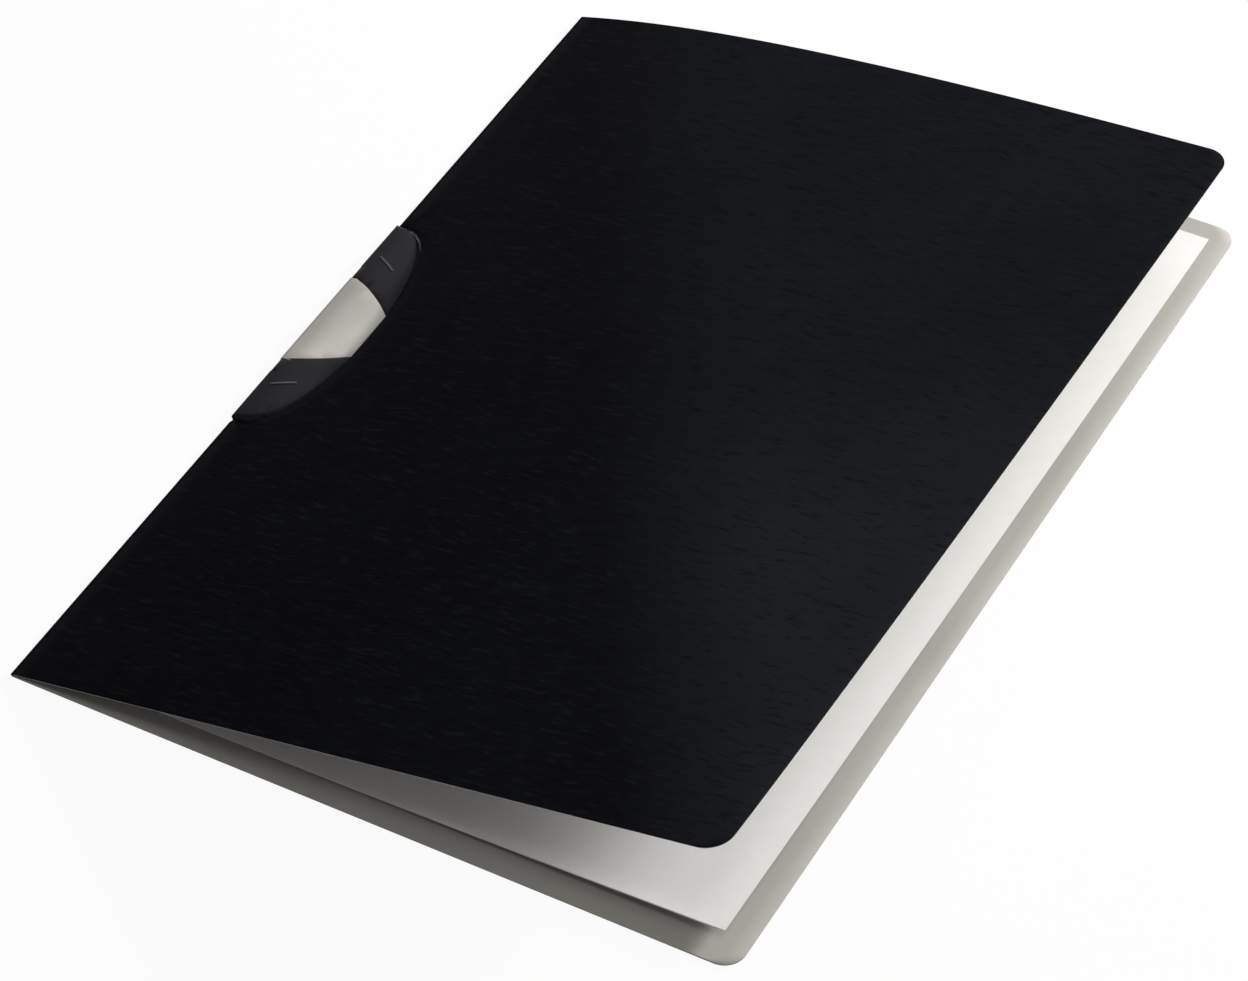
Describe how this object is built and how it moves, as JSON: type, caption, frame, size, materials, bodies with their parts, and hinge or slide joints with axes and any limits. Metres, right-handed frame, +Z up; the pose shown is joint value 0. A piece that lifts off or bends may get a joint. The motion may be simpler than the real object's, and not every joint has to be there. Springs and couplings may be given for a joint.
{
  "type": "clip folder",
  "caption": "A4 clip folder with a sprung-open plastic cover, a half-moon clip set in a window at the fold, and a thin stack of sheets inside.",
  "frame": {"origin": "under the middle of the back cover, on the surface that the folder lies on", "axes": "+X from the fold to the free edges, +Y along the fold to the far end, +Z up"},
  "size_m": [0.22, 0.31, 0.0439],
  "materials": {
    "cover": "near-black satin polypropylene with fine short brushed streaks across the width, light warm grey inside",
    "sheets": "white uncoated office paper",
    "clip_plastic": "smooth dark grey moulded plastic",
    "clip_silver": "satin silver-coloured moulded plastic with bright bevelled ends",
    "pin_steel": "plain steel wire"
  },
  "bodies": {
    "back": {"back_cover": "cover", "sheets": "sheets", "clip_base": "clip_plastic", "hinge_pin": "pin_steel"},
    "front": {"front_cover": "cover"},
    "clip": {"clip_jaw": "clip_plastic", "clip_cap": "clip_silver"}
  },
  "joints": [
    {"name": "cover_hinge", "type": "hinge", "parent": "back", "child": "front", "pos_m": [-0.10935, 0, 0.00065], "axis": [0, -1, 0], "range_deg": [-5, 160]},
    {"name": "clip_hinge", "type": "hinge", "parent": "back", "child": "clip", "pos_m": [-0.10825, 0, 0.0024], "axis": [0, -1, 0], "range_deg": [0, 105]}
  ]
}
